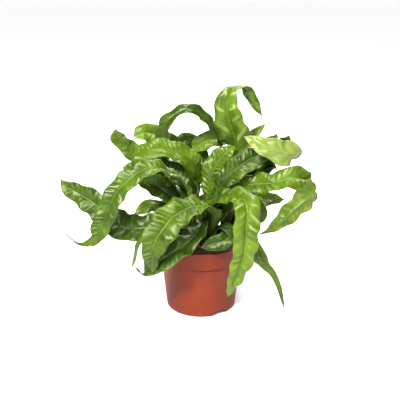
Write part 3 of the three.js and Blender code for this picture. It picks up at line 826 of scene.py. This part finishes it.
# Rounds the corners of an outline: each corner has its share of the radius.
def softened(outline, radius, steps=4):
    soft = []
    for k, (corner, share) in enumerate(outline):
        here = Vector(corner)
        if k in (0, len(outline) - 1) or share == 0:
            soft.append(here)
            continue
        back = Vector(outline[k - 1][0]) - here
        ahead = Vector(outline[k + 1][0]) - here
        most = potShape["roundingMost"] * min(back.length, ahead.length)
        cut = min(radius * share, most)
        start = here + back.normalized() * cut
        end = here + ahead.normalized() * cut
        for i in range(steps + 1):
            t = i / steps
            soft.append(start * (1 - t) ** 2 + here * 2 * t * (1 - t) + end * t ** 2)
    return soft


def around(angle):
    return Vector((math.cos(angle), math.sin(angle), 0))


# Turns an outline of radius and height pairs round the Z axis.
def turnedMesh(name, outline, sides):
    net = bmesh.new()
    rings = []
    for radius, height in outline:
        lift = Vector((0, 0, height))
        if radius < 1e-6:
            rings.append([net.verts.new(lift)] * sides)
        else:
            rings.append([net.verts.new(around(fullTurn * k / sides) * radius + lift) for k in range(sides)])
    for low, high in zip(rings, rings[1:]):
        for k in range(sides):
            n = (k + 1) % sides
            face = list(dict.fromkeys((low[k], low[n], high[n], high[k])))
            if len(face) > 2:
                net.faces.new(face)
    bmesh.ops.recalc_face_normals(net, faces=net.faces)
    return meshOf(net, name)


def plug(name, radius, reach, sides):
    return turnedMesh(name, [(0, -reach), (radius, -reach), (radius, reach), (0, reach)], sides)


def cutterAt(mesh, place, turn=0.0):
    cutter = newObject("cutter", mesh)
    cutter.location = place
    cutter.rotation_euler = (0, 0, turn)
    return cutter


def potOutline(rim, height):
    wall = potShape["wall"]
    foot = rim - potShape["footDrop"]
    footInside = foot - potShape["footRing"]
    collarFoot = height - potShape["collar"]
    collarLow = rim - potShape["collarTaper"]
    bodyTop = rim - potShape["collarTaper"] - potShape["collarStep"]
    stepBelow, stepAbove = potShape["collarInside"]
    beadLow = height - potShape["bead"]
    floorLow = potShape["floorHeight"]
    floorTop = floorLow + potShape["floorThickness"]

    def body(z):
        return foot + (bodyTop - foot) * (z / collarFoot) ** potShape["belly"]

    count = potShape["bellySteps"]
    steps = [collarFoot * k / count for k in range(1, count)]
    outer = [((body(z), z), 0) for z in steps]
    inner = [((body(z) - wall, z), 0) for z in reversed(steps) if z > floorTop + potShape["floorCurve"]]
    return [
        ((0, floorLow), 0),
        ((footInside, floorLow), 1),
        ((footInside, 0), 0.6),
        ((foot, 0), 0.8),
        *outer,
        ((bodyTop, collarFoot), 0.7),
        ((collarLow, collarFoot + potShape["collarSlope"]), 1),
        ((rim - potShape["beadDepth"], beadLow - potShape["beadNeck"]), 0.8),
        ((rim, beadLow), 0.8),
        ((rim, height), 1.2),
        ((rim - potShape["lip"], height), 1.2),
        ((collarLow - wall, collarFoot + stepAbove), 1),
        ((bodyTop - wall, collarFoot - stepBelow), 1),
        *inner,
        ((body(floorTop) - wall - potShape["floorInset"], floorTop), 2.5),
        ((0, floorTop), 0),
    ]


def drainCutters(centre):
    drains = potShape["drains"]
    mesh = plug("drain", drains["radius"], drains["reach"], drains["sides"])
    middle = centre + Vector((0, 0, potShape["floorHeight"] + potShape["floorThickness"] / 2))
    angles = [fullTurn * k / drains["count"] for k in range(drains["count"])]
    return [cutterAt(mesh, middle + around(angle) * drains["circle"]) for angle in angles]


# A round plug of unit width, laid on its side and made as wide and tall as the notch
def notchCutters(centre, foot):
    notches = potShape["notches"]
    mesh = plug("notch", 0.5, notches["reach"], notches["sides"])
    size = Matrix.Diagonal((1, notches["width"], notches["height"] * 2, 1))
    mesh.transform(size @ Matrix.Rotation(math.radians(90), 4, "Y"))
    angles = [math.radians(notches["first"] + 360 * k / notches["count"]) for k in range(notches["count"])]
    return [cutterAt(mesh, centre + around(angle) * foot, angle) for angle in angles]


def makePot():
    low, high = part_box("pot")
    centre = Vector(((low.x + high.x) / 2, (low.y + high.y) / 2, 0))
    rim = (high.x - low.x) / 2
    outline = softened(potOutline(rim, high.z), potShape["rounding"])
    piece = newObject("moulded_pot", turnedMesh("pot", outline, potShape["sides"]))
    piece.location = centre
    cutters = drainCutters(centre) + notchCutters(centre, rim - potShape["footDrop"])
    for cutter in cutters:
        cut = piece.modifiers.new("cut", "BOOLEAN")
        cut.operation = "DIFFERENCE"
        cut.solver = "EXACT"
        cut.object = cutter
    whole = plainMesh(piece)
    whole.transform(piece.matrix_world)
    piece.modifiers.clear()
    piece.data = whole
    piece.location = (0, 0, 0)
    for cutter in cutters:
        bpy.data.objects.remove(cutter)
    whole.materials.clear()
    whole.materials.append(makePotPlastic())
    whole.shade_smooth()
    whole.set_sharp_from_angle(angle=math.radians(potShape["sharpAbove"]))
    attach(piece, "root")
    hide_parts("pot")


makePot()
print("pot moulded")


# Potting mix

peatLooks = {
    "dark": (0.006, 0.004, 0.0025),
    "light": (0.036, 0.022, 0.013),
    "chip": (0.09, 0.055, 0.033),
    "clods": (160, 5, 0.7),  # cells a metre, detail and roughness of a noise
    "chips": (420, 2, 0.5),
    "chipLine": (0.55, 0.7),
    "chipShow": 0.4,
    "relief": (0.8, 1.0 * mm),
    "roughness": (0.8, 1.0),
}
moundGrowth = {
    "Splits": 3,
    "Bump": 1.6 * mm,
    "Lumps": 130.0,  # a metre
    "Lump detail": 4.0,
    "Lump roughness": 0.6,
    "Lowest": 88 * mm,
    "Fade": 2 * mm,
    "Skin": None,
}
crumbGrowth = {
    "Density": 52000.0,  # a square metre
    "Smallest": 0.7 * mm,
    "Largest": 2.3 * mm,
    "Narrowest": (0.5, 0.5, 0.35),
    "Widest": (1.3, 1.0, 0.8),
    "Turn": (6.28, 6.28, 6.28),
    "Dents": 900.0,  # a metre
    "Dent detail": 1.0,
    "Dent roughness": 0.5,
    "Dent depth": 1.1 * mm,
    "Facing up": 0.5,
    "Seed": 5,
    "Turn seed": 11,
    "Width seed": 23,
    "Skin": None,
}


def makePeat():
    material, maker = newMaterial("pottingMix")
    place = maker.get("ShaderNodeTexCoord", output="Object")
    clods = maker.noise(place, *peatLooks["clods"])
    chips = maker.smooth(maker.noise(place, *peatLooks["chips"]), *peatLooks["chipLine"])
    colour = maker.mixColour(clods, peatLooks["dark"], peatLooks["light"])
    colour = maker.mixColour(chips * peatLooks["chipShow"], colour, peatLooks["chip"])
    low, high = peatLooks["roughness"]
    skin = maker.get("ShaderNodeBsdfPrincipled", {}, Base_Color=colour,
                     Roughness=low + (high - low) * clods,
                     Normal=reliefFrom(maker, peatLooks["relief"], clods))
    endMaterial(maker, skin)
    return material


def makeMoundGrowth():
    tree, maker, given = newGrowth("moundGrowth", moundGrowth)
    mound = maker.get("GeometryNodeSubdivideMesh", {}, Mesh=given["Geometry"], Level=given["Splits"])
    spot = maker.get("GeometryNodeInputPosition")
    upper = maker.smooth(maker.height(spot), given["Lowest"], given["Lowest"] + given["Fade"])
    lumps = maker.noise(spot, given["Lumps"], given["Lump detail"], given["Lump roughness"])
    rise = (lumps - 0.5) * given["Bump"] * upper
    up = maker.get("ShaderNodeCombineXYZ", {}, Z=rise)
    mound = maker.get("GeometryNodeSetPosition", {}, Geometry=mound, Offset=up)
    mound = maker.get("GeometryNodeSetShadeSmooth", {}, Geometry=mound)
    endGrowth(maker, mound, given["Skin"])
    return tree


def makeCrumbGrowth():
    tree, maker, given = newGrowth("crumbGrowth", crumbGrowth)
    vectors = {"data_type": "FLOAT_VECTOR"}
    facing = maker.height(maker.get("GeometryNodeInputNormal"))
    upper = maker.math("GREATER_THAN", facing, given["Facing up"])
    points = maker.get("GeometryNodeDistributePointsOnFaces", {}, Mesh=given["Geometry"], Selection=upper,
                       Density=given["Density"], Seed=given["Seed"])
    crumb = maker.get("GeometryNodeMeshIcoSphere", {}, Radius=1.0, Subdivisions=1)
    size = maker.get("FunctionNodeRandomValue", {}, 1, i2=given["Smallest"], i3=given["Largest"],
                     Seed=given["Seed"])
    turn = maker.get("FunctionNodeRandomValue", vectors, i1=given["Turn"], Seed=given["Turn seed"])
    stretch = maker.get("FunctionNodeRandomValue", vectors, i0=given["Narrowest"], i1=given["Widest"],
                        Seed=given["Width seed"])
    placed = maker.get("GeometryNodeInstanceOnPoints", {}, Points=points, Instance=crumb, Rotation=turn,
                       Scale=stretch * size)
    crumbs = maker.get("GeometryNodeRealizeInstances", {}, i0=placed)
    spot = maker.get("GeometryNodeInputPosition")
    dents = maker.noise(spot, given["Dents"], given["Dent detail"], given["Dent roughness"], "Color")
    shake = (dents - (0.5, 0.5, 0.5)) * given["Dent depth"]
    crumbs = maker.get("GeometryNodeSetPosition", {}, Geometry=crumbs, Offset=shake)
    endGrowth(maker, crumbs, given["Skin"])
    return tree


def fillPot():
    values = {"Skin": makePeat()}
    mound = grow("potting_mix", meshOf(mergedCopy("soil"), "soilSeed"), makeMoundGrowth(), values)
    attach(mound, "root")
    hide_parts("soil")
    crumbs = grow("mix_crumbs", meshOf(mergedCopy("soil"), "crumbSeed"), makeCrumbGrowth(), values)
    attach(crumbs, "root")


fillPot()
print("potting mix filled")


# Crown

crownLooks = {
    "dark": (0.022, 0.010, 0.004),
    "light": (0.16, 0.075, 0.028),
    "mottle": (210, 4, 0.65),  # cells a metre, detail and roughness of a noise
    "relief": (0.6, 0.5 * mm),
    "roughness": (0.55, 0.85),
}
scaleGrowth = {
    "Density": 260000.0,  # a square metre
    "Length": 5.0 * mm,
    "Width": 0.9 * mm,
    "Flatness": 0.35,
    "Least lean": (-0.7, -0.7, 0.0),
    "Most lean": (0.7, 0.7, 6.28),
    "Lowest": 93 * mm,
    "Seed": 3,
    "Lean seed": 7,
    "Skin": None,
}


def makeScaleSkin():
    material, maker = newMaterial("crownScales")
    mottle = maker.noise(maker.get("ShaderNodeTexCoord", output="Object"), *crownLooks["mottle"])
    colour = maker.mixColour(mottle, crownLooks["dark"], crownLooks["light"])
    low, high = crownLooks["roughness"]
    skin = maker.get("ShaderNodeBsdfPrincipled", {}, Base_Color=colour,
                     Roughness=low + (high - low) * mottle,
                     Normal=reliefFrom(maker, crownLooks["relief"], mottle))
    endMaterial(maker, skin)
    return material


def makeScaleGrowth():
    tree, maker, given = newGrowth("scaleGrowth", scaleGrowth)
    height = maker.height(maker.get("GeometryNodeInputPosition"))
    upper = maker.math("GREATER_THAN", height, given["Lowest"])
    scattered = maker.node("GeometryNodeDistributePointsOnFaces", {}, Mesh=given["Geometry"],
                           Selection=upper, Density=given["Density"], Seed=given["Seed"])
    scale = maker.get("GeometryNodeMeshCone", {}, Vertices=4, Radius_Top=0.0, Radius_Bottom=0.5, Depth=1.0)
    lean = maker.get("FunctionNodeRandomValue", {"data_type": "FLOAT_VECTOR"}, i0=given["Least lean"],
                     i1=given["Most lean"], Seed=given["Lean seed"])
    turned = maker.get("FunctionNodeRotateRotation", {"rotation_space": "LOCAL"},
                       Rotation=maker.out(scattered, "Rotation"), Rotate_By=lean)
    size = maker.get("ShaderNodeCombineXYZ", {}, X=given["Width"], Y=given["Width"] * given["Flatness"],
                     Z=given["Length"])
    placed = maker.get("GeometryNodeInstanceOnPoints", {}, Points=maker.out(scattered), Instance=scale,
                       Rotation=turned, Scale=size)
    endGrowth(maker, placed, given["Skin"])
    return tree


def coverCrown():
    scaleSkin = makeScaleSkin()
    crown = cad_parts["crown"]
    crown.data.materials.clear()
    crown.data.materials.append(scaleSkin)
    seedMesh = meshOf(mergedCopy("crown"), "scaleSeed")
    scales = grow("crown_scales", seedMesh, makeScaleGrowth(), {"Skin": scaleSkin})
    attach(scales, "root")


coverCrown()
print("crown covered with scales")
